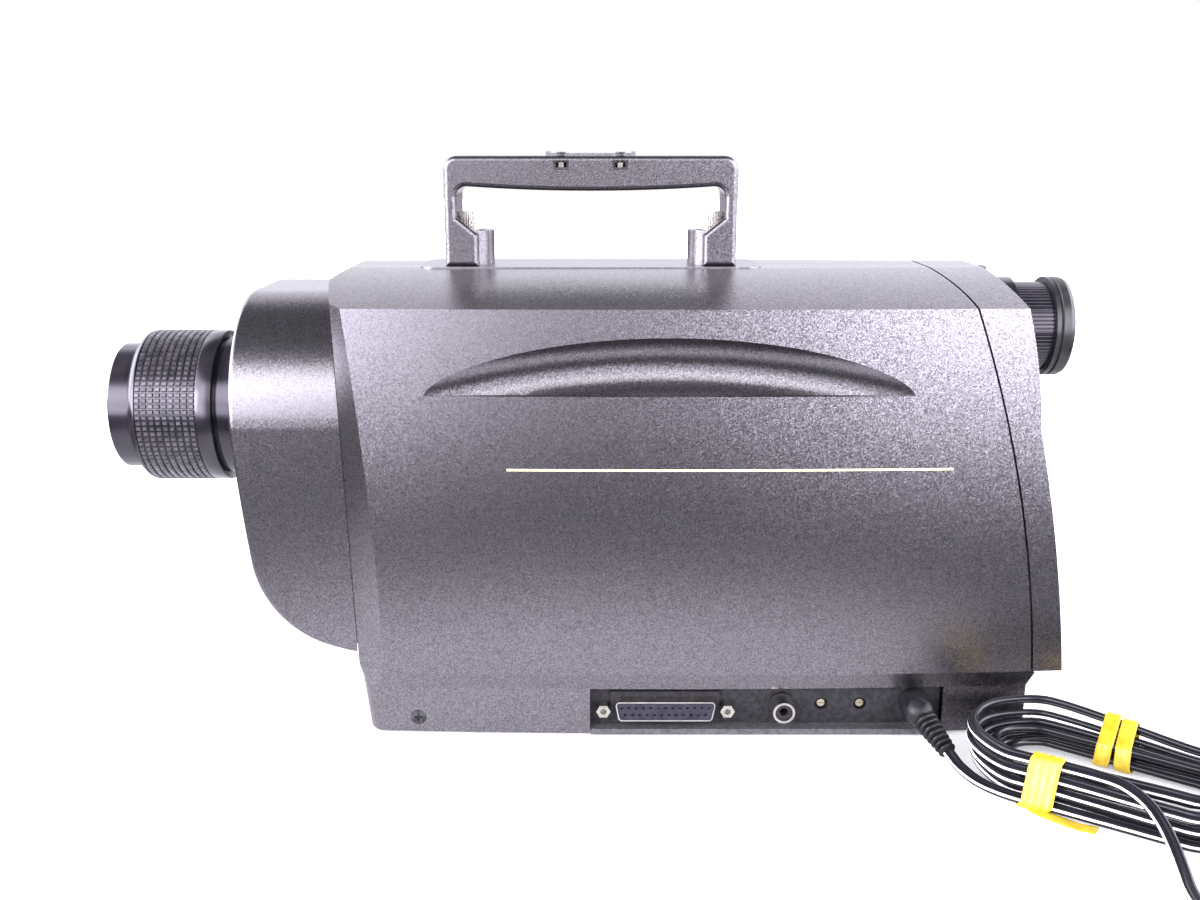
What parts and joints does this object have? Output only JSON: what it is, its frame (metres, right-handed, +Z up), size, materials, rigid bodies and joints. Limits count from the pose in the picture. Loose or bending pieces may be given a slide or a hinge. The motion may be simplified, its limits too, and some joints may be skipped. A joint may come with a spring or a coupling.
{
  "type": "spectroradiometer",
  "caption": "Bench spectroradiometer with a focusing lens, eyepiece, carrying handle, connector bay and a wound power cord.",
  "frame": {"origin": "on the table under the middle of the instrument, without its power cord", "axes": "X along the optical axis with the lens towards -X and the eyepiece towards +X, Z up, the connector side faces -Y"},
  "size_m": [0.4211, 0.307, 0.216],
  "materials": {
    "graphite_paint": "satin graphite paint with fine metal flakes",
    "handle_paint": "satin graphite paint, slightly lighter",
    "plate_paint": "satin dark paint",
    "base_black": "matt dark paint",
    "panel_black": "matt",
    "foot_rubber": "matt",
    "steel": "machined",
    "black_steel": "blackened",
    "nickel": "bright nickel plate",
    "dsub_plastic": "dark moulded plastic",
    "brass": "machined",
    "cord_vinyl": "glossy black vinyl with one pale stripe",
    "tie_yellow": "translucent yellow",
    "alloy": "machined",
    "anodised_black": "black anodised",
    "grip_rubber": "black anodised with a cut grip",
    "lens_glass": "coated glass",
    "eye_rubber": "smooth",
    "front_mirror": "front-surface mirror",
    "board_green": "solder mask",
    "sensor_ceramic": "ceramic package"
  },
  "bodies": {
    "housing": {"accessory_nuts": "nickel", "accessory_plate": "plate_paint", "accessory_screws": "black_steel", "aperture_mirror": "front_mirror", "base_plate": "base_black", "bench_posts": "alloy", "board_standoffs": "brass", "collimator_mirror": "front_mirror", "connector_panel": "panel_black", "cord_connector": "cord_vinyl", "cord_hank": "cord_vinyl", "cord_lead": "cord_vinyl", "cord_tail": "cord_vinyl", "dsub_bezel": "nickel", "dsub_insulator": "dsub_plastic", "dsub_jackscrews": "nickel", "dsub_shell": "nickel", "eyepiece_body": "anodised_black", "eyepiece_lens": "lens_glass", "far_tie": "tie_yellow", "feet": "foot_rubber", "grating": "front_mirror", "handle": "handle_paint", "handle_anchor": "alloy", "handle_plate": "plate_paint", "left_cover": "graphite_paint", "lens_barrel": "anodised_black", "lens_lock_ring": "anodised_black", "main_board": "board_green", "mirror_mount": "alloy", "near_tie": "tie_yellow", "nose_cover": "graphite_paint", "optical_bench": "alloy", "phono_insulator": "panel_black", "phono_ring": "panel_black", "phono_sleeve": "nickel", "power_jack": "panel_black", "power_plug": "cord_vinyl", "rear_bulkhead": "alloy", "rear_cover": "graphite_paint", "rear_lens": "lens_glass", "right_cover": "graphite_paint", "sensor_array": "sensor_ceramic", "sensor_board": "board_green", "side_screws": "black_steel", "slit_plate": "anodised_black", "strain_relief": "cord_vinyl", "trimmer_bodies": "dsub_plastic", "tripod_bush": "steel"},
    "focus": {"focus_ring": "grip_rubber"},
    "front_cell": {"front_barrel": "anodised_black", "front_lens": "lens_glass"},
    "dioptre": {"dioptre_ring": "anodised_black", "eyecup": "eye_rubber"},
    "selector": {"selector_knob": "anodised_black"},
    "thumbscrew_front": {"front_thumbscrew": "nickel"},
    "thumbscrew_rear": {"rear_thumbscrew": "nickel"},
    "gain": {"gain_trimmer": "brass"},
    "zero": {"zero_trimmer": "brass"}
  },
  "joints": [
    {"name": "focus_turn", "type": "hinge", "parent": "housing", "child": "focus", "pos_m": [-0.165, 0, 0.1142], "axis": [1, 0, 0], "range_deg": [0, 200]},
    {"name": "front_extension", "type": "slide", "parent": "housing", "child": "front_cell", "axis": [-1, 0, 0], "range_m": [0, 0.006]},
    {"name": "dioptre_turn", "type": "hinge", "parent": "housing", "child": "dioptre", "pos_m": [0.17, 0, 0.1469], "axis": [1, 0, 0], "range_deg": [-90, 90]},
    {"name": "selector_turn", "type": "hinge", "parent": "housing", "child": "selector", "pos_m": [0.163, 0.034, 0.157], "axis": [1, 0, 0], "range_deg": [0, 90]},
    {"name": "front_thumbscrew_turn", "type": "hinge", "parent": "housing", "child": "thumbscrew_front", "pos_m": [-0.0469, 0, 0.189], "axis": [0, 0, 1], "continuous": true},
    {"name": "rear_thumbscrew_turn", "type": "hinge", "parent": "housing", "child": "thumbscrew_rear", "pos_m": [0.0469, 0, 0.189], "axis": [0, 0, 1], "continuous": true},
    {"name": "gain_turn", "type": "hinge", "parent": "housing", "child": "gain", "pos_m": [0.0883, -0.0637, 0.0112], "axis": [0, -1, 0], "range_deg": [-135, 135]},
    {"name": "zero_turn", "type": "hinge", "parent": "housing", "child": "zero", "pos_m": [0.1031, -0.0637, 0.0112], "axis": [0, -1, 0], "range_deg": [-135, 135]}
  ],
  "couplings": [
    {"joint": "front_extension", "follows": "focus_turn", "m_per_rad": 0.0017}
  ]
}
